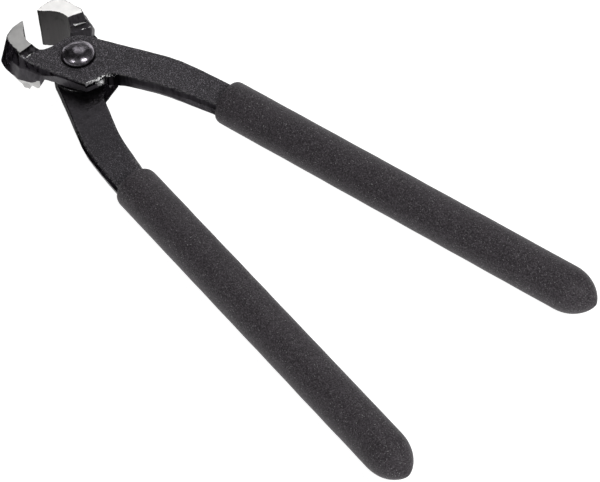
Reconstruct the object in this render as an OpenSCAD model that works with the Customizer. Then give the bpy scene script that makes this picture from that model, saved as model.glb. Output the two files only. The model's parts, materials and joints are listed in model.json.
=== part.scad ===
// End-cutting nippers for tile: two forged lever halves, crossed and lapped at one domed rivet,
// with dipped vinyl grips. The tool lies on its side: +X runs from the jaws to the grips,
// +Z is the pivot direction, and the origin is at the middle of the footprint, on the ground.
// The outlines below are drawn from the pivot, and the whole tool is then moved to that origin.

/* [Jaws] */
// Length of the cutting edges, measured along the pivot
jaw_w = 18.2; // [17:0.1:20]
// Distance from the pivot to the cutting edges
jaw_reach = 25.4; // [25:0.1:26]
// Opening between the cutting edges as drawn
mouth_gap = 6.7; // [6:0.1:7.4]
// Radius of the hollow ground behind each cutting edge
hollow_r = 10; // [9.8:0.1:10.2]
// How far the back of a jaw swells out at its forging ridge
jaw_swell = 3.6; // [2:0.1:4]
// How far the back of a neck swells out at its forging ridge
neck_swell = 1.6; // [1:0.1:2]

/* [Levers] */
// Thickness of a forged half at the lap
lever_t = 6.8; // [6.4:0.1:7.2]
// Thickness of the shank between the lap and the grip
shank_t = 5.5; // [5:0.1:6]
// Radius of the round lap around the pivot
hub_r = 9.9; // [9.6:0.1:10.1]
// Gap between the round lap and the neck of the other half
lap_clearance = 0.7; // [0.4:0.1:0.9]
// How far the neck reaches past the middle plane
neck_depth = 5.4; // [5:0.1:6]

/* [Rivet] */
// Diameter of the rivet's shank
rivet_d = 7.6; // [6:0.1:8.4]
// Diameter of the domed head
head_d = 12.2; // [11:0.1:13]
// Height of the domed head
head_h = 4.2; // [3.4:0.1:4.8]
// Diameter of the peened end
peen_d = 11; // [10:0.1:12]
// Height of the peened end
peen_h = 1.6; // [1:0.1:2]

/* [Grips] */
// Distance from the pivot to the far end of the grips, along the tool
grip_reach = 200; // [190:1:210]
// Distance from the middle plane to the centre of a grip's end
grip_spread = 44.7; // [42:0.1:48]
// Diameter of a grip behind its rim
grip_d = 16; // [15.6:0.1:17]
// Diameter of a grip where its rounded end starts
grip_end_d = 15.2; // [14:0.1:16]
// Diameter of the rim where the steel goes in
rim_d = 14.3; // [14:0.1:15]

/* [Hidden] */
$fn = 96;

steel = "#26262a";
gunmetal = "#55565a";
charcoal = "#303135";

// Clearances: between the lapped faces and the middle plane, and around the rivet in the lower half
face_gap = 0.05;
running_gap = 0.05;

// Depth given to cuts and blanks that run past the metal
past = 60;

// A lever face is this far from the middle plane
face_z = lever_t + face_gap;
jaw_z = jaw_w / 2;

// The steel thins behind the lap, is set down towards the middle plane, and tapers in the grip
thin_start_x = 13;
thin_end_x = 20;
grip_start_x = 50;
steel_drop = 0.9;
tang_end_x = 190;
tang_end_z = 0.3;
tang_end_t = 4.8;
tang_end_w = 7;

// The grip's centre line
grip_start = [grip_start_x, 22.9, 2.4];
grip_end = [grip_reach, grip_spread, 0.3];
grip_run = grip_end - grip_start;
grip_l = norm(grip_run);
grip_yaw = atan2(grip_run.y, grip_run.x);
grip_pitch = -asin(grip_run.z / grip_l);
rim_l = 3;
dome_l = 10;

// Where the neck ends under the lap, measured round the pivot
shoulder_angle = -120;

// Height of the forging ridge on the back of the jaw and the neck
ridge_z = -3.5;

// A smooth curve through the points p, with n steps in each span (Catmull-Rom)
function curve_point(a, b, c, d, t) =
    0.5 * (2 * b + (c - a) * t + (2 * a - 5 * b + 4 * c - d) * t * t + (3 * b - a - 3 * c + d) * t * t * t);
function smooth(p, n = 5) =
    let (last = len(p) - 1)
    concat([for (i = [0 : last - 1], k = [0 : n - 1])
        curve_point(p[max(i - 1, 0)], p[i], p[i + 1], p[min(i + 2, last)], k / n)], [p[last]]);

// Points on an ellipse about c, from angle a0 to a1 in n steps
function arc(c, rx, ry, a0, a1, n) =
    [for (i = [0 : n]) let (a = a0 + (a1 - a0) * i / n) c + [rx * cos(a), ry * sin(a)]];

// Outlines of the upper half seen from above. First the back of the jaw, from the cutting edge,
// then the hollow and the throat, from the cutting edge to the round lap
cutting_edge = [-jaw_reach, -mouth_gap / 2];
jaw_end_x = -14.8;
jaw_back = smooth([cutting_edge, [-25.1, -7.5], [-24.2, -10.6], [-22.3, -13], [-19, -14.6],
    [jaw_end_x, -15.2]]);
hollow_c = [-15.2, hollow_r - 8.8];
hollow = arc(hollow_c, hollow_r, hollow_r, 220, 266, 10);
throat = smooth([[-14.9, -8.7], [-11.7, -6.8], [-10.3, -3.6]]);

// An outline that swells away from the hollow's centre, most at its middle and not at its ends
function swollen(outline, swell) =
    let (last = len(outline) - 1)
    [for (i = [0 : last]) let (out = outline[i] - hollow_c)
        outline[i] + swell * sin(180 * i / last) * out / norm(out)];

// Where the pivot lies: the swollen jaws are the tool's front, and the lower grip its lowest place
jaw_front = min([for (p = swollen(jaw_back, jaw_swell)) p.x]);
pivot_x = -(jaw_front + grip_reach) / 2;
ground_z = grip_start.z + grip_d / 2;

// The neck, the shank, the tang in the grip, and the round lap
neck_start = [-18, -10.5];
neck_outside = [[jaw_end_x, -15.1], [-6, -12.7], [10.8, -6.9], [14.9, 2.3]];
shank_inside = smooth([[16.6, 3.9], [22, 6.5], [31.4, 11.1], [41, 14.7], [grip_start_x, 17.6]]);
tang_end = [for (side = [-1, 1])
    [tang_end_x, grip_start.y + (tang_end_x - grip_start_x) * tan(grip_yaw) + side * tang_end_w / 2]];
shank_outside = smooth([[grip_start_x, 27.6], [38.2, 25.1], [27.3, 22.3], [17.4, 18.3], [8, 13.9], [1, 10.4]]);
lap = arc([0, 0], hub_r, hub_r, 95, 180, 12);

module plan() {
    polygon(concat([neck_start], neck_outside, shank_inside, tang_end, shank_outside, lap, [[-12, 0]]));
}

// Outline of the upper half seen from the side: sloped neck, flat lap, thinner shank, tapered tang
module side() {
    inset = 0.3;
    slope_x = jaw_end_x - 0.4;
    neck_x = -12.4;
    shoulder_x = -5.8;
    shoulder_run = 3.2;
    polygon([
        [-past, jaw_z - inset], [slope_x, jaw_z - inset], [neck_x, face_z], [thin_end_x, face_z],
        [grip_start_x, face_z - steel_drop], [tang_end_x, tang_end_z + tang_end_t / 2],
        [tang_end_x, tang_end_z - tang_end_t / 2], [grip_start_x, face_z - steel_drop - shank_t],
        [thin_end_x, face_z - shank_t], [thin_start_x, face_gap], [shoulder_x, face_gap],
        [shoulder_x - shoulder_run, -neck_depth], [neck_x, -neck_depth], [slope_x, inset - jaw_z],
        [-past, inset - jaw_z]
    ]);
}

// A forged block with a ridge along its back: the back swells out by s.y at each height s.x
module forged_block(back, front, slices) {
    slice_t = 0.02;
    hull() for (s = slices)
        translate([0, 0, s.x - (s.x > 0 ? slice_t : 0)])
            linear_extrude(slice_t) polygon(concat(swollen(back, s.y), front));
}

module jaw_block() {
    forged_block(jaw_back, [[jaw_end_x, -8]],
        [[jaw_z, 0], [ridge_z, jaw_swell], [-jaw_z, 0.3 * jaw_swell]]);
}

module neck_block() {
    forged_block([[-16, -14.9], [-13, -14.8], [-9, -13.6], [-6.4, -12.8]], [[-7, -10], [-16, -10]],
        [[face_z, 0], [ridge_z, neck_swell], [-neck_depth, 0]]);
}

// Everything in front of the hollow and the throat is open
module mouth() {
    polygon(concat([cutting_edge], hollow, throat,
        [[-hub_r, 0], [-hub_r, past], [-past, past], [-past, cutting_edge.y]]));
}

// The room that the other half needs on the far side of the middle plane
module lap_room() {
    translate([0, 0, face_gap - past]) linear_extrude(past) {
        circle(hub_r + lap_clearance);
        polygon([[0, 0], past * [cos(shoulder_angle), sin(shoulder_angle)], [past, -past],
            [past, past], [0, past]]);
    }
}

module lever_blank() {
    intersection() {
        union() {
            translate([0, 0, -past / 2]) linear_extrude(past) plan();
            neck_block();
        }
        rotate([90, 0, 0]) linear_extrude(2 * past, center = true) side();
    }
}

module lever(bore_d) {
    difference() {
        union() {
            lever_blank();
            jaw_block();
        }
        translate([0, 0, -past / 2]) linear_extrude(past) mouth();
        // The lap room stops short of the handle, which dips past the middle plane
        intersection() {
            lap_room();
            translate([-past, -past, -past]) cube([past + hub_r + 2, 2 * past, 2 * past]);
        }
        translate([0, 0, -past / 2]) cylinder(d = bore_d, h = past);
    }
}

// The grip's outline from its axis, with a rounded rim and a domed end
module grip_profile() {
    rim = arc([rim_d / 2, rim_l], (grip_d - rim_d) / 2, rim_l, -90, 0, 6);
    dome = arc([0, grip_l - dome_l], grip_end_d / 2, dome_l, 0, 90, 12);
    polygon(concat([[0, 0]], rim, dome));
}

module grip() {
    difference() {
        translate(grip_start)
            rotate([0, grip_pitch, grip_yaw])
                rotate([0, 90, 0])
                    rotate_extrude() grip_profile();
        lever_blank();
    }
}

module rivet_profile() {
    edge_h = 0.8;
    under_z = -face_z - face_gap;
    dome = arc([0, face_z + edge_h], head_d / 2, head_h - edge_h, 0, 90, 12);
    peen = arc([0, under_z - edge_h / 2], peen_d / 2, peen_h - edge_h / 2, -90, 0, 8);
    polygon(concat(peen, [[peen_d / 2, under_z], [rivet_d / 2, under_z], [rivet_d / 2, face_z],
        [head_d / 2, face_z]], dome));
}

// Moves a sub-part from the pivot to the tool's origin
module placed() {
    translate([pivot_x, 0, ground_z]) children();
}

// The two halves are the same shape, turned over about the tool's long axis
module turned_over() {
    rotate([180, 0, 0]) children();
}

module upper_lever() {
    color(steel) placed() lever(rivet_d);
}

module lower_lever() {
    color(steel) placed() turned_over() lever(rivet_d + 2 * running_gap);
}

module pivot_rivet() {
    color(gunmetal) placed() rotate_extrude() rivet_profile();
}

module upper_grip() {
    color(charcoal) placed() grip();
}

module lower_grip() {
    color(charcoal) placed() turned_over() grip();
}

upper_lever();
lower_lever();
pivot_rivet();
upper_grip();
lower_grip();
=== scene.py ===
"""The looks of the tile nippers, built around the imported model.

The two forged halves are one shape, used twice. It is described by a distance field in millimetres,
measured from the pivot with Z along the rivet, and meshed with its ground edges kept sharp. The rivet
is turned from a profile, and the grips are dipped sleeves round the tangs.
"""

import json
import math
import bpy
import numpy as np
from mathutils import Matrix, Vector


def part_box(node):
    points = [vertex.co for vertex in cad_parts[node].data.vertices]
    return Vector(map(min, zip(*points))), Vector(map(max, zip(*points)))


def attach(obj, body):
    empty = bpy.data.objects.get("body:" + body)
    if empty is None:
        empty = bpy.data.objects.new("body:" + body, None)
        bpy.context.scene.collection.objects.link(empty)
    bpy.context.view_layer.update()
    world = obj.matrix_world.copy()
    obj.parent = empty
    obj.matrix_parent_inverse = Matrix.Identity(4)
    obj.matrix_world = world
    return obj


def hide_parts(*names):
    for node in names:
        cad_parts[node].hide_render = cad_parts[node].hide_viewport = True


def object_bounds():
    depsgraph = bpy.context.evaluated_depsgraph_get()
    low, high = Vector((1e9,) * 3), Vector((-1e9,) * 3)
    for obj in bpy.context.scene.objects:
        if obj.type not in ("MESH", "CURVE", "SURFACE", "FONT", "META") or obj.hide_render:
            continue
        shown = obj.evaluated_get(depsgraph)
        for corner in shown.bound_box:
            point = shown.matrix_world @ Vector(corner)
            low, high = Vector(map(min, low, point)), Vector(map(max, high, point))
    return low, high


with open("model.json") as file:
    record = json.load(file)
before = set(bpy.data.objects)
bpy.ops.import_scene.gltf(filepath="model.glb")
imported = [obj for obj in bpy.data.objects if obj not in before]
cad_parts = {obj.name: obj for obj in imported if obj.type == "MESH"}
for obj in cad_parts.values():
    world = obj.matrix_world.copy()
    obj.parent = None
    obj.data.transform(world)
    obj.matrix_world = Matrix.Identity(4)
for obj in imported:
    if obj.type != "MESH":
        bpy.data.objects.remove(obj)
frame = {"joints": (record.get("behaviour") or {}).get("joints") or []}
cad_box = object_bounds()

MM = 0.001
PIVOT = Vector(frame["joints"][0]["pos_m"])


# ---------------------------------------------------------------- camera

CAMERA_AZIMUTH = 47.15
CAMERA_ELEVATION = 52.04
CAMERA_ROLL = -3.31
CAMERA_DISTANCE = 0.8304
CAMERA_LENS = 149.6
AIM = Vector((0.02434, -0.00209, PIVOT.z))


def direction(azimuth, elevation):
    """The unit vector from the object towards something that stands at this azimuth and elevation."""
    a, e = math.radians(azimuth), math.radians(elevation)
    return Vector((math.sin(a) * math.cos(e), -math.cos(a) * math.cos(e), math.sin(e)))


def make_camera():
    data = bpy.data.cameras.new("camera")
    data.lens = CAMERA_LENS
    data.clip_end = 20
    cam = bpy.data.objects.new("camera", data)
    bpy.context.scene.collection.objects.link(cam)
    back = direction(CAMERA_AZIMUTH, CAMERA_ELEVATION)
    cam.location = AIM + back * CAMERA_DISTANCE
    level = (-back).to_track_quat("-Z", "Y").to_matrix().to_4x4()
    cam.rotation_euler = (level @ Matrix.Rotation(math.radians(CAMERA_ROLL), 4, "Z")).to_euler()
    bpy.context.scene.camera = cam


# ---------------------------------------------------------------- outlines, in millimetres from the pivot


def smooth(points, steps=6):
    """A smooth curve through the points (Catmull-Rom)."""
    p = np.array([points[0]] + list(points) + [points[-1]], float)
    out = []
    for a, b, c, d in zip(p, p[1:], p[2:], p[3:]):
        for t in np.arange(steps) / steps:
            out.append(0.5 * (2 * b + (c - a) * t + (2 * a - 5 * b + 4 * c - d) * t**2
                              + (3 * b - a - 3 * c + d) * t**3))
    return [tuple(q) for q in out] + [tuple(points[-1])]


def arc(centre, radius, start, end, steps):
    angles = np.radians(np.linspace(start, end, steps + 1))
    return [(centre[0] + radius * math.cos(a), centre[1] + radius * math.sin(a)) for a in angles]


class Outline:
    """Signed distance to a closed outline, negative inside, sampled once on a fine grid."""

    STEP = 0.1
    MARGIN = 3.0

    def __init__(self, points):
        p = np.array(points, float)
        self.low = p.min(0) - self.MARGIN
        counts = np.ceil((p.max(0) + self.MARGIN - self.low) / self.STEP).astype(int) + 1
        x = (self.low[0] + np.arange(counts[0]) * self.STEP)[:, None]
        y = (self.low[1] + np.arange(counts[1]) * self.STEP)[None, :]
        nearest = np.full(tuple(counts), 1e9)
        inside = np.zeros(tuple(counts), bool)
        for (ax, ay), (bx, by) in zip(p, np.roll(p, -1, axis=0)):
            ex, ey = bx - ax, by - ay
            t = np.clip(((x - ax) * ex + (y - ay) * ey) / max(ex * ex + ey * ey, 1e-12), 0, 1)
            nearest = np.minimum(nearest, (x - ax - t * ex) ** 2 + (y - ay - t * ey) ** 2)
            if by != ay:
                inside ^= ((ay > y) != (by > y)) & (x < ax + (y - ay) * ex / ey)
        self.values = np.where(inside, -1, 1) * np.sqrt(nearest)

    def __call__(self, x, y):
        x, y = np.broadcast_arrays(x, y)
        u = np.clip((x - self.low[0]) / self.STEP, 0, self.values.shape[0] - 1.001)
        v = np.clip((y - self.low[1]) / self.STEP, 0, self.values.shape[1] - 1.001)
        i, j = u.astype(int), v.astype(int)
        u, v = u - i, v - j
        d = self.values
        return ((d[i, j] * (1 - u) + d[i + 1, j] * u) * (1 - v)
                + (d[i, j + 1] * (1 - u) + d[i + 1, j + 1] * u) * v)


# ---------------------------------------------------------------- distance fields


def rounded(a, b, radius):
    """The part inside both a and b, with a round edge."""
    u, v = a + radius, b + radius
    return np.minimum(np.maximum(u, v), 0) + np.hypot(np.maximum(u, 0), np.maximum(v, 0)) - radius


def chamfered(a, b, width):
    """The part inside both a and b, with a flat chamfer where they meet."""
    return np.maximum(np.maximum(a, b), (a + b + width) / math.sqrt(2))


def blended(a, b, radius):
    """The part inside a or b, with a fillet where they meet."""
    h = np.maximum(radius - np.abs(a - b), 0) / radius
    return np.minimum(a, b) - h * h * radius / 4


def ripple(x, y, z, wavelength):
    """A gentle unevenness between -1 and 1, as left by hammer and scale."""
    k = 2 * math.pi / wavelength
    return (np.sin(k * (x + 0.6 * y) + 1.3) * np.sin(k * (0.8 * y - 0.5 * x + 1.1 * z) + 0.4)
            + np.sin(1.7 * k * (y - 0.3 * x) + 2.1) * np.sin(1.6 * k * (z + 0.7 * x) + 0.9)) / 2


def mesh_field(field, axes):
    """Vertices and quads of the surface where field is 0, negative inside. The grid lines are given by
    axes, and each vertex is put where the surface's planes in its cell meet, so sharp edges stay sharp."""
    xs, ys, zs = axes
    values = field(xs[:, None, None], ys[None, :, None], zs[None, None, :])
    values = np.where(np.abs(values) < 1e-7, 1e-7, values)
    cells_shape = tuple(len(a) - 1 for a in axes)
    rings, points, flips = [], [], []
    for axis in range(3):
        near = np.moveaxis(values, axis, 0)[:-1]
        far = np.moveaxis(values, axis, 0)[1:]
        found = np.argwhere((near < 0) != (far < 0))
        start = np.insert(found[:, 1:], axis, found[:, 0], axis=1)
        end = start.copy()
        end[:, axis] += 1
        a, b = values[tuple(start.T)], values[tuple(end.T)]
        p = np.stack([axes[k][start[:, k]] for k in range(3)], 1)
        length = axes[axis][end[:, axis]] - axes[axis][start[:, axis]]
        p[:, axis] += length * a / (a - b)
        u, v = (axis + 1) % 3, (axis + 2) % 3
        ring = []
        for du, dv in ((0, 0), (-1, 0), (-1, -1), (0, -1)):
            cell = start.copy()
            cell[:, u] += du
            cell[:, v] += dv
            ring.append(np.ravel_multi_index(cell.T, cells_shape))
        rings.append(np.stack(ring, 1))
        points.append(p)
        flips.append(a > 0)
    ring, point, flip = np.concatenate(rings), np.concatenate(points), np.concatenate(flips)
    normal = gradient(field, point)

    cell_ids, corner = np.unique(ring, return_inverse=True)
    corner = corner.reshape(ring.shape)
    count = len(cell_ids)
    where = corner.ravel()
    p, n = np.repeat(point, 4, axis=0), np.repeat(normal, 4, axis=0)

    def total(values_in):
        return np.bincount(where, values_in, count)

    hits = total(np.ones(len(where)))
    middle = np.stack([total(p[:, k]) for k in range(3)], 1) / hits[:, None]
    offset = ((p - middle[where]) * n).sum(1)
    matrix = np.empty((count, 3, 3))
    for i in range(3):
        for j in range(3):
            matrix[:, i, j] = total(n[:, i] * n[:, j])
    matrix += np.eye(3) * (0.03 * hits)[:, None, None]
    vector = np.stack([total(n[:, k] * offset) for k in range(3)], 1)
    shift = np.linalg.solve(matrix, vector[:, :, None])[:, :, 0]
    index = np.unravel_index(cell_ids, cells_shape)
    low = np.stack([axes[k][index[k]] for k in range(3)], 1)
    high = np.stack([axes[k][index[k] + 1] for k in range(3)], 1)
    vertices = np.clip(middle + shift, low, high)
    quads = np.where(flip[:, None], corner[:, ::-1], corner)
    return vertices, quads


def gradient(field, points, step=0.02):
    """The unit normals of field at the points."""
    out = np.empty_like(points)
    for k in range(3):
        ahead, behind = points.copy(), points.copy()
        ahead[:, k] += step
        behind[:, k] -= step
        out[:, k] = field(*ahead.T) - field(*behind.T)
    return out / np.maximum(np.linalg.norm(out, axis=1), 1e-9)[:, None]


def grid_line(*stretches):
    """The places of grid lines along one axis, from stretches of (start, end, spacing)."""
    parts = [np.arange(start, end, spacing) for start, end, spacing in stretches]
    return np.concatenate(parts + [[stretches[-1][1]]])


# ---------------------------------------------------------------- the forged half

# Heights from the middle plane: the jaw's side, the flat face, the lap face, the neck's underside, the ridge
JAW_Z = ((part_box("upper_lever")[1] - PIVOT) / MM).z
FACE_Z = 6.85
LAP_Z = 0.05
NECK_Z = -5.4
RIDGE_Z = -3.5
RIDGE_END_Z = -1.0

# How far the backs swell out, the round lap and its shoulder, and the places along the tool
JAW_SWELL = 3.6
NECK_SWELL = 2.0
HUB_R = 9.9
BORE_R = 3.85
LAP_CLEARANCE = 0.7
SHOULDER_ANGLE = -120
JAW_END_X = -14.8
NECK_FOOT_X = -12.4
SHANK_X = 20
GRIP_X = 50.0
TANG_X = 190.0
TANG_Y = 43.3
TANG_W = 7

CUTTING_EDGE = (-25.4, -3.35)
JAW_BACK = (smooth([CUTTING_EDGE, (-25.6, -6.3), (-25.3, -8.9), (-24.4, -11.5)])
            + smooth([(-23.9, -12.3), (-21.7, -13.3), (-18.7, -13.9), (JAW_END_X, -14.2)]))
HOLLOW_CENTRE = (-15.2, 1.2)
HOLLOW_R = 10.0
HOLLOW = arc(HOLLOW_CENTRE, HOLLOW_R, 220, 266, 24)
THROAT = smooth([(-14.9, -8.7), (-11.7, -6.8), (-10.3, -3.6)])
FACET = [(11.2, -7.1), (13.5, 0.7)]
NECK_OUTSIDE = [(JAW_END_X, -14.5), (-11.5, -14.0), (-6, -12.8), (5, -9.1), (9.3, -7.95)] + FACET
SHANK_INSIDE = smooth([(14.7, 2.5), (17.3, 3.95), (22, 6.2), (31.4, 10.9), (41, 14.4), (GRIP_X, 17.4)])
SHANK_OUTSIDE = smooth([(GRIP_X, 27.7), (38.2, 25.4), (27.3, 22.7), (17.4, 18.6), (8, 14.3), (1, 11.2),
                        (-3, 9.4)])
TANG_END = [(TANG_X, TANG_Y - TANG_W / 2), (TANG_X, TANG_Y + TANG_W / 2)]
LAP = arc((0, 0), HUB_R, 110, 180, 30)

plan = Outline([(-18, -10.5)] + NECK_OUTSIDE + SHANK_INSIDE + TANG_END + SHANK_OUTSIDE + LAP
               + [(-12, 0)])
jaw_plan = Outline(JAW_BACK + [(JAW_END_X, -8)])
mouth = Outline([CUTTING_EDGE] + HOLLOW + THROAT
                + [(-HUB_R, 0), (-HUB_R, 16), (-40, 16), (-40, CUTTING_EDGE[1])])

# How high the top and the underside lie along the half: sloped neck, flat lap, thin shank, tapered tang
TOP = ((-15.2, 8.8), (NECK_FOOT_X, FACE_Z), (SHANK_X, FACE_Z), (GRIP_X, 5.95), (TANG_X, 2.7))
UNDERSIDE = ([(-14.0, -8.9), (-12.8, NECK_Z), (-9, NECK_Z), (-5.8, LAP_Z), (-5, -1.5), (12.9, -1.5)]
             + smooth([(13, LAP_Z), (16, 0.5), (SHANK_X, 1.2), (26, 1.2)]) + [(GRIP_X, 0.45), (TANG_X, -2.1)])

EDGE_R = 0.3
LAP_DRAFT = 0.6
NECK_DRAFT = 0.8
BOSS_R = 10.2
BOSS_H = 0.5
FILLET_R = 1.6
FACET_LEAN = 0.12


def along(profile, x):
    return np.interp(x, [p[0] for p in profile], [p[1] for p in profile])


def skewed(x, y):
    """X measured so that the steps on the underside of the neck lie a little askew."""
    return x + 0.45 * np.clip(y + 11, -4, 5) * (x < -5)


def ridge_height(x):
    """The forging ridge climbs from the back of the jaw to the end of the neck."""
    return np.interp(x, [-16, -7], [RIDGE_Z, RIDGE_END_Z])


def facet_distance(x, y):
    """Distance outside the flat's line on the face. The flat is ground on the corner next to the shank."""
    (ax, ay), (bx, by) = FACET
    length = math.hypot(bx - ax, by - ay)
    return ((x - ax) * (by - ay) - (y - ay) * (bx - ax)) / length


def leaning_facet(x, y, z):
    """Distance outside that flat as it is ground: it cuts deeper below the face."""
    return facet_distance(x, y) + FACET_LEAN * (FACE_Z - z)


def jaw_swell(x, y, z):
    """How far the back of the jaw swells out: most at its corner, and least at the cutting edge."""
    angle = np.degrees(np.arctan2(y - HOLLOW_CENTRE[1], x - HOLLOW_CENTRE[0])) % 360
    share = np.interp(angle, [204, 214, 224, 234, 271, 300], [0, 0.5, 0.87, 1, 0.55, 0.4])
    return share * np.interp(z, [-JAW_Z, RIDGE_Z, JAW_Z], [0.1 * JAW_SWELL, JAW_SWELL, 0])


def on_inside(x, y):
    """1 on the side of the shank that faces the other half, 0 on its outer side."""
    return np.clip((13.5 + 0.33 * (x - 22) - y) / 2, 0, 1)


def shank_bulge(x, y, height):
    """How far the forging stands out along the shank: a low flash inside, a parting line outside."""
    inside = on_inside(x, y)
    parting = np.minimum(height / 0.5, (1 - height) / 0.5)
    flash = np.minimum(0.4 + height / 0.4, (0.44 - height) / 0.18)
    flash = np.clip(flash, 0, 1) * np.interp(x, [20, 30, 46], [0, 0.5, 1.3])
    return (inside * flash + (1 - inside) * 0.5 * parting) * np.clip((x - 15) / 8, 0, 1)


def neck_bulge(x, z):
    """How far the neck swells out at its ridge, up to its end over the lap."""
    ridge = ridge_height(x)
    above = (2.6 - z) / (2.6 - ridge)
    below = 1 - 0.75 * (ridge - z) / (ridge - NECK_Z)
    return NECK_SWELL * np.clip(np.minimum(above, below), 0, 1) * np.clip((-5.6 - x) / 0.7, 0, 1)


def web(x, y, z):
    """The plate of the half: neck, lap, shank and tang."""
    top, underside = along(TOP, x), along(UNDERSIDE, skewed(x, y))
    round_boss = np.clip((np.hypot(x, y) - BOSS_R) / 0.3, 0, 1) * np.clip((x + 3) / 2, 0, 1)
    set_down = LAP_Z + BOSS_H * round_boss * np.clip((SHANK_X - x) / 3, 0, 1)
    underside = np.where((x > -3) & (x < SHANK_X), np.maximum(underside, set_down), underside)
    floor = np.maximum(underside, LAP_Z)
    height = np.clip((z - floor) / (top - floor), 0, 1)
    draft = LAP_DRAFT * np.clip(0.8 - height, 0, 1) * np.clip((x + 7) / 3, 0, 1) * np.clip((22 - x) / 8, 0, 1)
    more = NECK_DRAFT * np.clip(0.8 - height, 0, 0.8) * np.clip((x - 2) / 6, 0, 1) * (x < 14)
    draft = (draft + more) * np.clip(-y / 3, 0, 1)
    side = plan(x, y) + draft - shank_bulge(x, y, height) - neck_bulge(x, z)
    flat = np.maximum(z - top, underside - z)
    return rounded(side, flat, EDGE_R) + 0.04 * ripple(x, y, z, 7.0)


def jaw(x, y, z):
    """The block of the jaw, before its sides and its hollow are ground."""
    side = jaw_plan(x, y) - jaw_swell(x, y, z)
    return np.maximum(side + 0.05 * ripple(x, y, z, 6.0), np.abs(z) - JAW_Z - 1)


def lap_room(x, y, z):
    """The room for the other half, below the lap face."""
    angle = math.radians(SHOULDER_ANGLE)
    past_shoulder = np.maximum(y * math.cos(angle) - x * math.sin(angle), x)
    return np.maximum(np.minimum(np.hypot(x, y) - HUB_R - LAP_CLEARANCE, -past_shoulder), z - LAP_Z)


def forging(x, y, z):
    """One finished half: the forged blank with everything that is ground, cut and bored off it."""
    metal = blended(web(x, y, z), jaw(x, y, z), FILLET_R)
    metal = np.maximum(metal, np.minimum(leaning_facet(x, y, z), 0.5 * (1.2 - y)))
    room = np.maximum(lap_room(x, y, z), x - GRIP_X + 8)
    metal = chamfered(metal, -room, 0.25)
    metal = np.maximum(metal, -mouth(x, y))
    metal = chamfered(metal, np.abs(z) - JAW_Z, 0.12)
    return np.maximum(metal, BORE_R - np.hypot(x, y))


# ---------------------------------------------------------------- materials


class Nodes:
    """A short way to write a procedural material."""

    def __init__(self, name):
        self.material = bpy.data.materials.new(name)
        self.material.use_nodes = True
        self.tree = self.material.node_tree
        self.shader = self.tree.nodes["Principled BSDF"]
        self.place = self.add("ShaderNodeTexCoord").outputs["Object"]

    def add(self, kind, inputs=None, **settings):
        node = self.tree.nodes.new(kind)
        for key, value in settings.items():
            setattr(node, key, value)
        for key, value in (inputs or {}).items():
            self.put(node.inputs[key], value)
        return node

    def put(self, socket, value):
        if isinstance(value, bpy.types.NodeSocket):
            self.tree.links.new(value, socket)
        else:
            socket.default_value = value

    def stretched(self, scale):
        return self.add("ShaderNodeMapping", {"Vector": self.place, "Scale": scale}).outputs["Vector"]

    def noise(self, per_mm, detail=3.0, roughness=0.6, scale=(1, 1, 1)):
        """Noise with about per_mm features to the millimetre."""
        return self.add("ShaderNodeTexNoise", {
            "Vector": self.stretched(scale), "Scale": per_mm / MM, "Detail": detail,
            "Roughness": roughness}).outputs["Fac"]

    def span(self, value, low, high, out_low=0.0, out_high=1.0):
        return self.add("ShaderNodeMapRange", {
            "Value": value, "From Min": low, "From Max": high, "To Min": out_low,
            "To Max": out_high}).outputs["Result"]

    def math(self, operation, a, b):
        return self.add("ShaderNodeMath", {0: a, 1: b}, operation=operation).outputs[0]

    def mix(self, factor, a, b):
        node = self.add("ShaderNodeMix", {"Factor": factor}, data_type="RGBA")
        self.put(node.inputs[6], a)
        self.put(node.inputs[7], b)
        return node.outputs[2]

    def attribute(self, name):
        return self.add("ShaderNodeAttribute", attribute_name=name).outputs["Fac"]

    def bump(self, height, depth_mm, strength=1.0):
        normal = self.add("ShaderNodeBump", {
            "Height": height, "Distance": depth_mm * MM, "Strength": strength}).outputs["Normal"]
        self.put(self.shader.inputs["Normal"], normal)

    def finish(self, **inputs):
        for key, value in inputs.items():
            self.put(self.shader.inputs[key.replace("_", " ")], value)
        return self.material


def grey(value, warmth=0.0):
    return (value * (1 + warmth), value, value * (1 - warmth), 1)


def tinted(value, red=1.03, blue=1.07):
    """The faint violet of black oxide and charcoal vinyl."""
    return (value * red, value * 0.96, value * blue, 1)


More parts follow.
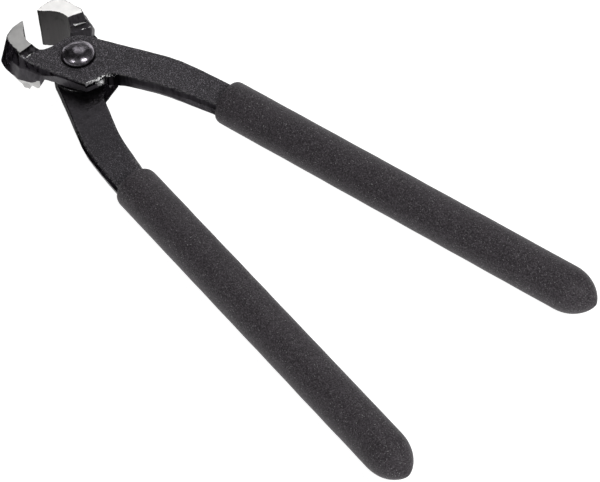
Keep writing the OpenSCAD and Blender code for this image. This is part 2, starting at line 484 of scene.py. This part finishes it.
def oxide():
    """Black oxide: sandblasted on the flats, smooth and oily on the forged walls, with specks of wear along
    the edges. Painted on it: a lighter band low on the walls as a painted reflection of the floor, a painted
    highlight along the edges and on the boss rim, and near-white painted highlights on the neck's steps.
    """
    n = Nodes("oxide")
    flat, edge, painted_highlight, lower = (n.attribute(a) for a in ("flat", "edge", "painted_highlight", "lower"))
    grain = n.noise(2.6, 2.0, 0.7)
    marks = n.noise(0.9, 4.0, 0.6, scale=(1, 1, 0.25))
    patches = n.noise(0.12, 3.0)
    chips = n.noise(1.3, 4.0, 0.7)
    face = n.mix(n.span(patches, 0.3, 0.7), tinted(0.026), tinted(0.041))
    face = n.mix(n.math("MULTIPLY", n.span(grain, 0.48, 0.72), 0.8), face, tinted(0.155))
    speck = n.span(n.noise(3.0, 1.0, 0.5), 0.58, 0.70)
    face = n.mix(n.math("MULTIPLY", speck, 0.7), face, tinted(0.36))
    wall = n.mix(n.span(marks, 0.35, 0.7), tinted(0.018), tinted(0.04))
    # Below the parting line the walls are painted lighter and made less metallic: a painted reflection of the
    # pale floor
    low = n.mix(n.span(marks, 0.35, 0.7), tinted(0.05), tinted(0.08))
    base = n.mix(flat, n.mix(lower, wall, low), face)
    # Light specks along the edges: partly wear, and partly a painted highlight along the edges and on the
    # boss rim
    brighter_marks = n.math("MULTIPLY", edge, n.span(chips, 0.46, 0.66))
    base = n.mix(n.math("MULTIPLY", brighter_marks, 0.5), base, grey(0.3))
    # A painted highlight: near-white bright metal on the fillets and edges of the neck's steps
    bright = n.span(n.math("ADD", painted_highlight, chips), 1.08, 1.2)
    base = n.mix(bright, base, grey(0.95))
    height = n.math("ADD", n.math("MULTIPLY", grain, flat), n.math("MULTIPLY", marks, 0.4))
    n.bump(height, 0.12, 0.8)
    rough = n.add("ShaderNodeMix", {"Factor": flat}, data_type="FLOAT")
    n.put(rough.inputs[2], n.span(marks, 0.3, 0.7, 0.25, 0.42))
    n.put(rough.inputs[3], n.span(grain, 0.3, 0.7, 0.40, 0.6))
    # The flats and the painted lighter band low on the walls are the parts that are less metallic
    painted = n.math("SUBTRACT", n.math("MAXIMUM", flat, n.math("MULTIPLY", lower, 0.8)), bright)
    return n.finish(Base_Color=base, Metallic=n.span(painted, 0, 1, 1, 0), Roughness=rough.outputs[0],
                    Specular_IOR_Level=0.25, Specular_Tint=(0.2, 0.2, 0.2, 1))


def ground_steel(name, darker, lighter):
    """Steel ground bright, with fine grinding lines along the jaw. Darker and lighter are its two greys."""
    n = Nodes(name)
    lines = n.noise(5.0, 3.0, 0.6, scale=(0.06, 1, 1))
    cloud = n.noise(0.22, 2.0)
    base = n.mix(n.span(cloud, 0.3, 0.7), grey(darker, 0.01), grey(lighter, 0.015))
    n.bump(lines, 0.02, 0.35)
    return n.finish(Base_Color=base, Metallic=1.0, Roughness=n.span(lines, 0.3, 0.7, 0.30, 0.42))


def hollow_steel():
    """The hollow behind the cutting edge: dark satin, ground along the rivet's direction."""
    n = Nodes("hollow_steel")
    streaks = n.noise(1.2, 4.0, 0.6, scale=(1, 1, 0.06))
    cloud = n.noise(0.25, 2.0)
    along_tool = n.add("ShaderNodeSeparateXYZ", {0: n.place}).outputs["X"]
    base = n.mix(n.span(streaks, 0.3, 0.7), tinted(0.036, 1.06, 0.98), tinted(0.056, 1.06, 0.98))
    base = n.mix(n.span(cloud, 0.58, 0.75), base, grey(0.015))
    # In metres from the pivot: paler towards the throat, and a dark line at the cutting edge, a painted shade
    # where the edge's land lies in shadow
    base = n.mix(n.span(along_tool, -0.0165, -0.0135, 0, 0.8), base, grey(0.10, 0.04))
    base = n.mix(n.span(along_tool, -0.0252, -0.0246, 1, 0), base, grey(0.003))
    n.bump(streaks, 0.02, 0.3)
    return n.finish(Base_Color=base, Metallic=0.35, Roughness=n.span(streaks, 0.3, 0.7, 0.42, 0.55))


def lap_steel():
    """The machined faces that slide on each other, dark with oil."""
    n = Nodes("lap_steel")
    rings = n.noise(1.6, 3.0)
    base = n.mix(n.span(rings, 0.35, 0.7), grey(0.05), grey(0.09))
    n.bump(rings, 0.02, 0.3)
    return n.finish(Base_Color=base, Metallic=0.6, Roughness=n.span(rings, 0.3, 0.7, 0.3, 0.45))


def facet_steel(name, brighter_marks):
    """The flat ground on the neck. Where the second argument is 1, bright metal breaks through the oxide at
    its rim.
    """
    n = Nodes(name)
    scratches = n.noise(4.0, 2.0, 0.6, scale=(1, 1, 0.10))
    chips = n.noise(1.2, 4.0, 0.65)
    place = n.add("ShaderNodeSeparateXYZ", {0: n.place})
    # In metres from the pivot: the chips lie near the upper rim, and the scratches in a patch below them
    rim = n.math("SUBTRACT", n.span(place.outputs["Z"], 0.0030, 0.0052, 0, 0.56),
                 n.span(place.outputs["Y"], -0.0035, 0.0025, 0, 0.12))
    patch = n.math("MULTIPLY", n.math("MULTIPLY", n.span(place.outputs["Z"], 0.0012, 0.0024),
                                      n.span(place.outputs["Z"], 0.0040, 0.0048, 1, 0)),
                   n.math("MULTIPLY", n.span(place.outputs["Y"], -0.0035, -0.0027),
                          n.span(place.outputs["Y"], -0.0006, 0.0002, 1, 0)))
    bright = n.math("MAXIMUM", n.math("MULTIPLY", n.span(scratches, 0.50, 0.56), patch),
                    n.span(n.math("ADD", chips, rim), 1.00, 1.06))
    bright = n.math("MULTIPLY", bright, brighter_marks)
    base = n.mix(bright, tinted(0.012), grey(0.9))
    n.bump(n.math("ADD", scratches, chips), 0.06, 0.6)
    return n.finish(Base_Color=base, Metallic=1.0, Specular_Tint=(0.2, 0.2, 0.2, 1),
                    Roughness=n.span(scratches, 0.3, 0.7, 0.3, 0.5))


def rivet_steel():
    """Gunmetal, smeared and dented by the riveting hammer on top, with a painted reflection as a lighter ring
    round its shoulder and painted shade on its foot.
    """
    n = Nodes("rivet_steel")
    dents = n.noise(0.45, 2.0, 0.5)
    smears = n.noise(0.9, 4.0, 0.7, scale=(1, 1, 0.5))
    fine = n.noise(2.5, 3.0)
    height = n.add("ShaderNodeSeparateXYZ", {0: n.place}).outputs["Z"]
    base = n.mix(n.span(smears, 0.42, 0.6), tinted(0.09), tinted(0.19))
    # In metres from the middle plane: a painted reflection as a lighter ring round the shoulder, and painted
    # shade on the foot below it
    base = n.mix(n.span(height, 0.0092, 0.0102), tinted(0.42), base)
    base = n.mix(n.span(height, 0.0080, 0.0090), tinted(0.02), base)
    n.bump(n.math("ADD", dents, n.math("MULTIPLY", fine, 0.05)), 0.2, 0.6)
    return n.finish(Base_Color=base, Metallic=1.0, Roughness=n.span(fine, 0.3, 0.7, 0.25, 0.34),
                    Specular_Tint=(0.7, 0.7, 0.7, 1))


def grip_vinyl():
    """Dipped vinyl: charcoal, matte, with a fine grain, and light specks here and there that are painted
    glints of the grain.
    """
    n = Nodes("grip_vinyl")
    grain = n.noise(1.9, 3.0, 0.65)
    cloud = n.noise(0.10, 2.0)
    # Painted glints: light specks standing in for the sparkle of the grain
    painted_glint = n.span(n.noise(2.6, 1.0), 0.66, 0.74)
    base = n.mix(n.span(cloud, 0.3, 0.7), tinted(0.021, 1.10, 1.08), tinted(0.030, 1.10, 1.08))
    base = n.mix(n.span(grain, 0.4, 0.7), base, tinted(0.095, 1.09, 1.08))
    base = n.mix(n.math("MULTIPLY", painted_glint, 0.7), base, grey(0.42))
    n.bump(grain, 0.16, 1.0)
    return n.finish(Base_Color=base, Roughness=n.span(grain, 0.3, 0.7, 0.42, 0.62),
                    Specular_IOR_Level=0.16)


def floor_paint():
    """A pale table that glows a little, as a light table does."""
    n = Nodes("floor_paint")
    base = n.mix(n.span(n.noise(0.004, 3.0), 0.3, 0.7), grey(0.48), grey(0.5))
    return n.finish(Base_Color=base, Roughness=0.9, Specular_IOR_Level=0.1,
                    Emission_Color=(1, 1, 1, 1), Emission_Strength=0.93)


# ---------------------------------------------------------------- pieces


def make_object(name, vertices, faces, materials, slots=None, sharp=32):
    """An object from vertices in millimetres from the pivot, placed at the pivot."""
    mesh = bpy.data.meshes.new(name)
    places = [tuple(v) for v in np.asarray(vertices, float) * MM]
    mesh.from_pydata(places, [], [list(map(int, face)) for face in faces])
    for material in materials:
        mesh.materials.append(material)
    if slots is not None:
        mesh.polygons.foreach_set("material_index", np.asarray(slots, np.int32))
    mesh.shade_smooth()
    mesh.set_sharp_from_angle(angle=math.radians(sharp))
    mesh.validate()
    obj = bpy.data.objects.new(name, mesh)
    bpy.context.scene.collection.objects.link(obj)
    obj.location = PIVOT
    return obj


def set_attribute(mesh, name, values):
    mesh.attributes.new(name, "FLOAT", "POINT").data.foreach_set("value", np.asarray(values, np.float32))


FINISHES = ("oxide", "ground", "ground_painted_light", "ground_band", "hollow", "lap", "facet")

# A face this near to a surface lies on it
ON_SURFACE = 0.06


def forging_finish(centres, normals):
    """Which finish each face of the forging has, as its place in FINISHES. A later rule wins."""
    x, y, z = centres.T
    nz = normals[:, 2]
    from_axis = np.hypot(x, y)
    ground_side = (np.abs(nz) > 0.9) & (np.abs(z) > JAW_Z - 0.2)
    low_band = (z < ridge_height(x) - 0.1) & (mouth(x, y) > 0.4)
    on_slope = (np.abs(nz) > 0.75) | (normals[:, 0] > 0.62)
    in_hollow = (np.abs(mouth(x, y)) < ON_SURFACE) & (np.abs(nz) < 0.3) & (x < -10.5)
    on_lap = (np.abs(z - LAP_Z) < ON_SURFACE) & (nz < -0.9) & (from_axis < BOSS_R)
    on_facet = (np.abs(leaning_facet(x, y, z)) < ON_SURFACE) & (y < 2.4) & (y > -8)
    beside_facet = (x > 12.5) & (x < 17) & (y > 0.6) & (y < 5) & (on_inside(x, y) > 0.5)
    rules = (
        # The jaw's two ground sides take one steel in two greys, a painted reflection: lighter on the side
        # that is up on the lower half
        ("ground", ground_side & (z > 0)),
        ("ground_band", low_band & (x < -6.0) & (~on_slope | (y < -12.9))),
        ("ground_painted_light", ground_side & (z < 0)),
        ("hollow", in_hollow),
        ("lap", on_lap | (from_axis < BORE_R + 0.1)),
        ("facet", (on_facet | beside_facet) & (np.abs(nz) < 0.5)),
    )
    finish = np.full(len(x), FINISHES.index("oxide"))
    for name, where in rules:
        finish[where] = FINISHES.index(name)
    return finish


FINE_STEP = 0.3
TANG_STEP = 2.5
TANG_SIDE_STEP = 0.9


def make_forging(name, materials):
    axes = (
        grid_line((-31, GRIP_X + 4, FINE_STEP), (GRIP_X + 4, TANG_X + 3, TANG_STEP)),
        grid_line((-20, 31, FINE_STEP), (31, 49, TANG_SIDE_STEP)),
        grid_line((-JAW_Z - 0.7, JAW_Z + 0.8, FINE_STEP)),
    )
    vertices, quads = mesh_field(forging, axes)
    corners = vertices[quads]
    normals = np.cross(corners[:, 2] - corners[:, 0], corners[:, 3] - corners[:, 1])
    normals /= np.maximum(np.linalg.norm(normals, axis=1), 1e-12)[:, None]
    finish = forging_finish(corners.mean(1), normals)
    obj = make_object(name, vertices, quads, materials, finish)
    mark_wear_and_painted_light(obj.data, vertices)
    return obj


def mark_wear_and_painted_light(mesh, vertices):
    """Writes four attributes: flat, for the sandblasted faces, edge, for wear along the forged edges and a
    painted highlight along them and on the boss rim, lower, for the walls beyond the parting line, which are
    painted lighter as a reflection of the floor, and a fourth for the painted highlight on the neck's steps."""
    x, y, z = vertices.T
    normal = gradient(forging, vertices)
    upright = np.abs(normal[:, 2])
    top, underside = along(TOP, x), along(UNDERSIDE, skewed(x, y))
    # The underside is smooth with oil near the pivot, so it counts as flat only further out; its darker
    # finish there is also a painted shade of the other half lying over it
    oil_and_shade_share = np.where(normal[:, 2] < 0, np.clip((x - 14) / 42, 0.06, 0.9), 1)
    set_attribute(mesh, "flat", np.clip((upright - 0.7) / 0.2, 0, 1) * (x > NECK_FOOT_X) * oil_and_shade_share)
    # edge: wear along the forged edges, partly a painted highlight along them
    near_side = np.abs(plan(x, y) - 0.1)
    near_flat = np.minimum(np.abs(z - top), np.abs(z - underside))
    # A painted highlight on the rim of the round boss, carried with the edge wear
    boss_rim_highlight = np.clip(1.6 - np.abs(np.hypot(x, y) - BOSS_R - 0.15) / 0.3, 0, 1)
    boss_rim_highlight = boss_rim_highlight * (np.abs(z) < 0.7) * (x > -2)
    set_attribute(mesh, "edge", np.maximum(np.clip(1.3 - (near_side + near_flat) / 0.7, 0, 1), boss_rim_highlight))
    # lower marks the walls beyond the parting line, which the oxide paints lighter as a painted reflection of
    # the floor
    height = (z - underside) / (top - underside)
    parting = np.interp(x, [-12, -5, 0], [2.2, 2.6, 5.0])
    before_shank = np.clip((parting - z) / 0.4, 0, 1) * np.clip((x + 20) / 3, 0, 1) * (y < 0)
    before_shank = before_shank * (facet_distance(x, y) < -0.5)
    inside = np.clip((0.46 - height) / 0.06, 0, 1) * np.clip((x - 20) / 4, 0, 1)
    outside = np.clip((height - 0.5) / 0.06, 0, 1) * np.clip((x - 24) / 6, 0, 1)
    shank = np.where(on_inside(x, y) > 0.5, inside, outside)
    set_attribute(mesh, "lower", np.where(x < 14, before_shank, shank) * (upright < 0.9))
    # A painted highlight: bright bars along the foot fillet, the shoulder and the top of the neck's steps
    across = np.clip((y + 13.5) / 0.4, 0, 1) * np.clip((-9.2 - y) / 0.4, 0, 1)
    askew = skewed(x, y)
    foot = np.clip(1.8 - np.abs(askew + 12.3) / 0.3, 0, 1) * (np.abs(z - NECK_Z) < 0.5)
    shoulder = 0.62 * np.clip(1.5 - np.abs(askew + 9.2) / 0.35, 0, 1) * (z < -4)
    top_foot = 0.60 * np.clip(1.5 - np.abs(x + 12.7) / 0.4, 0, 1) * (z > 4)
    set_attribute(mesh, "painted_highlight", across * np.maximum(np.maximum(foot, shoulder), top_foot))


def lathe(profile, steps=128):
    """Vertices and faces of a profile of (radius, height) turned about Z. It starts and ends on the axis."""
    ring = profile[1:-1]
    angles = np.linspace(0, 2 * math.pi, steps, endpoint=False)
    vertices = [(0, 0, profile[0][1])]
    vertices += [(r * math.cos(a), r * math.sin(a), h) for r, h in ring for a in angles]
    vertices.append((0, 0, profile[-1][1]))
    last = len(vertices) - 1
    faces = []
    for i in range(steps):
        j = (i + 1) % steps
        faces.append((0, 1 + j, 1 + i))
        for k in range(len(ring) - 1):
            a, b = 1 + k * steps, 1 + (k + 1) * steps
            faces.append((a + i, a + j, b + j, b + i))
        top = 1 + (len(ring) - 1) * steps
        faces.append((top + i, top + j, last))
    return np.array(vertices, float), faces


HEAD_R = 6.1
HEAD_H = 4.2
HEAD_EDGE = 0.25
SHANK_R = 3.8
PEEN_R = 5.5
PEEN_H = 1.6
PEEN_EDGE = 0.4
DENT_DEPTH = 0.09


def make_rivet(material):
    """A domed head that springs straight from the face, the shank, and the peened lower end."""
    head = [(HEAD_R * math.cos(a), FACE_Z + HEAD_EDGE + (HEAD_H - HEAD_EDGE) * math.sin(a) ** 0.95)
            for a in np.radians(np.linspace(0, 88, 44))]
    under = -FACE_Z - LAP_Z
    peen = [(PEEN_R * math.sin(a), under - PEEN_EDGE - (PEEN_H - PEEN_EDGE) * math.cos(a))
            for a in np.radians(np.linspace(3, 90, 24))]
    profile = ([(0, under - PEEN_H)] + peen + [(PEEN_R, under), (SHANK_R, under), (SHANK_R, FACE_Z),
               (HEAD_R - 0.12, FACE_Z), (HEAD_R - 0.02, FACE_Z + 0.12)] + head + [(0, FACE_Z + HEAD_H)])
    vertices, faces = lathe(profile)
    x, y, z = vertices.T
    dent = DENT_DEPTH * ripple(x, y, z, 8.5) * np.clip((np.abs(z) - FACE_Z - 0.9) / 1.5, 0, 1)
    vertices[:, 2] += np.sign(z) * np.minimum(dent, 0.0)
    return make_object("rivet", vertices, faces, [material], sharp=40)


GRIP_R = 8.0
GRIP_END = (200.0, 44.7, 0.3)
RIM_L = 1.8
RIM_STEP = 0.6
DOME_L = 12.5


class Grip:
    """A dipped sleeve, in its own frame: X along it, Z up. The tang's room is left inside."""

    def __init__(self, start, end_radius):
        self.start = np.array(start)
        run = np.array(GRIP_END) - self.start
        self.length = float(np.linalg.norm(run))
        forward = run / self.length
        side = np.cross((0, 0, 1), forward)
        side /= np.linalg.norm(side)
        self.frame = np.array((forward, side, np.cross(forward, side)))
        self.end_radius = end_radius

    def radius(self, x):
        """The sleeve's radius at x: a rounded rim, a straight run, a bullet-shaped end."""
        rim = np.sqrt(np.clip(1 - (np.clip(RIM_L - x, 0, RIM_L) / RIM_L) ** 2, 0, 1))
        body = np.interp(x, [0, RIM_L, self.length - DOME_L], [GRIP_R, GRIP_R, self.end_radius])
        back = np.clip((x - self.length + DOME_L) / DOME_L, 0, 1)
        end = np.clip(1 - back ** 2.2, 0, 1) ** 0.68
        # Ahead of its start, the end is made wider than the body, so that only the body counts
        return np.minimum(body - RIM_STEP * (1 - rim), self.end_radius * end + (back == 0))

    def __call__(self, x, y, z):
        sleeve = np.maximum((np.hypot(y, z) - self.radius(x)) * 0.9, -x)
        forward, side, up = self.frame
        place = [self.start[k] + x * forward[k] + y * side[k] + z * up[k] for k in range(3)]
        px, py, pz = np.broadcast_arrays(*place)
        return np.maximum(sleeve + 0.05 * ripple(x, y, z, 24.0), -web(px, py, pz))


def make_grip(name, grip, material):
    across = grid_line((-8.7, 8.8, 0.35))
    near_end = grip.length - 20
    axes = (
        grid_line((-0.9, 6, FINE_STEP), (6, near_end, 0.9), (near_end, grip.length + 0.9, FINE_STEP)),
        across,
        across,
    )
    vertices, quads = mesh_field(grip, axes)
    return make_object(name, grip.start + vertices @ grip.frame, quads, [material], sharp=50)


# The lower half's pieces are turned over about the tool's length
TURNED_OVER = (math.pi, 0, 0)


def turned_over(obj, name):
    """A copy of an upper piece for the lower half."""
    copy = obj.copy()
    copy.data = obj.data.copy()
    copy.name = copy.data.name = name
    copy.rotation_euler = TURNED_OVER
    bpy.context.scene.collection.objects.link(copy)
    return copy


def join_frame(obj, node, body):
    """Hides the CAD node that the piece stands for, and makes the piece move with its body."""
    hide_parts(node)
    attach(obj, body)


def make_pieces():
    # In the order of FINISHES
    # The second and third finishes are one ground steel in two greys, a painted reflection: darker on the jaw
    # side that is up on the upper half, lighter on the side that is up on the lower half
    finishes = [oxide(), ground_steel("ground_steel", 0.28, 0.34), ground_steel("ground_painted_light", 0.72, 0.84),
                ground_steel("ground_band", 0.36, 0.46), hollow_steel(), lap_steel(),
                facet_steel("facet_worn", 1.0)]
    upper = make_forging("upper_forging", finishes)
    lower = turned_over(upper, "lower_forging")
    # These two places are bare on the upper half and black on the lower one
    lower.data.materials[FINISHES.index("facet")] = facet_steel("facet_black", 0.0)
    lower.data.materials[FINISHES.index("ground_band")] = finishes[FINISHES.index("oxide")]
    rivet = make_rivet(rivet_steel())
    vinyl = grip_vinyl()
    upper_sleeve = make_grip("upper_sleeve", Grip((51.0, 23.4, 2.4), 7.95), vinyl)
    lower_sleeve = make_grip("lower_sleeve", Grip((51.8, 22.3, 2.4), 7.7), vinyl)
    lower_sleeve.rotation_euler = TURNED_OVER
    join_frame(upper, "upper_lever", "upper_half")
    join_frame(lower, "lower_lever", "lower_half")
    join_frame(rivet, "pivot_rivet", "upper_half")
    join_frame(upper_sleeve, "upper_grip", "upper_half")
    join_frame(lower_sleeve, "lower_grip", "lower_half")


# ---------------------------------------------------------------- floor and light

FLOOR_HALF = 3.0
FLOOR_DROP = 0.0002
BRIGHT_AZIMUTH = 150
BRIGHT_ELEVATION = 45


def make_floor():
    corners = [(FLOOR_HALF * x, FLOOR_HALF * y, 0) for x, y in ((-1, -1), (1, -1), (1, 1), (-1, 1))]
    mesh = bpy.data.meshes.new("floor")
    mesh.from_pydata(corners, [], [(0, 1, 2, 3)])
    mesh.materials.append(floor_paint())
    floor = bpy.data.objects.new("floor", mesh)
    bpy.context.scene.collection.objects.link(floor)
    floor.location.z = cad_box[0].z - FLOOR_DROP


def softbox(name, azimuth, elevation, distance, size, power):
    data = bpy.data.lights.new(name, "AREA")
    data.shape = "RECTANGLE"
    data.size, data.size_y = size
    data.energy = power
    light = bpy.data.objects.new(name, data)
    bpy.context.scene.collection.objects.link(light)
    back = direction(azimuth, elevation)
    light.location = AIM + back * distance
    light.rotation_euler = back.to_track_quat("Z", "Y").to_euler()


def make_light():
    """A dim studio that is brighter on one side, with softboxes behind the tool and on both sides of it."""
    scene = bpy.context.scene
    scene.view_settings.view_transform = "Standard"
    world = bpy.data.worlds.new("studio")
    world.use_nodes = True
    tree = world.node_tree
    toward = tree.nodes.new("ShaderNodeVectorMath")
    toward.operation = "DOT_PRODUCT"
    tree.links.new(tree.nodes.new("ShaderNodeTexCoord").outputs["Generated"], toward.inputs[0])
    toward.inputs[1].default_value = direction(BRIGHT_AZIMUTH, BRIGHT_ELEVATION)
    glow = tree.nodes.new("ShaderNodeMapRange")
    for key, value in {"From Min": -0.5, "From Max": 1.0, "To Min": 0.10, "To Max": 1.0}.items():
        glow.inputs[key].default_value = value
    tree.links.new(toward.outputs["Value"], glow.inputs["Value"])
    tree.links.new(glow.outputs["Result"], tree.nodes["Background"].inputs["Strength"])
    scene.world = world
    softbox("back_box", CAMERA_AZIMUTH + 180, 54, distance=1.2, size=(0.9, 0.7), power=3.4)
    softbox("rim_box", CAMERA_AZIMUTH + 180, 10, distance=1.3, size=(1.8, 0.35), power=4.0)
    softbox("key_box", CAMERA_AZIMUTH + 48, 50, distance=1.0, size=(0.09, 0.22), power=4.8)
    softbox("side_box", CAMERA_AZIMUTH - 50, 42, distance=1.0, size=(0.20, 0.22), power=1.4)


make_camera()
make_floor()
make_light()
make_pieces()
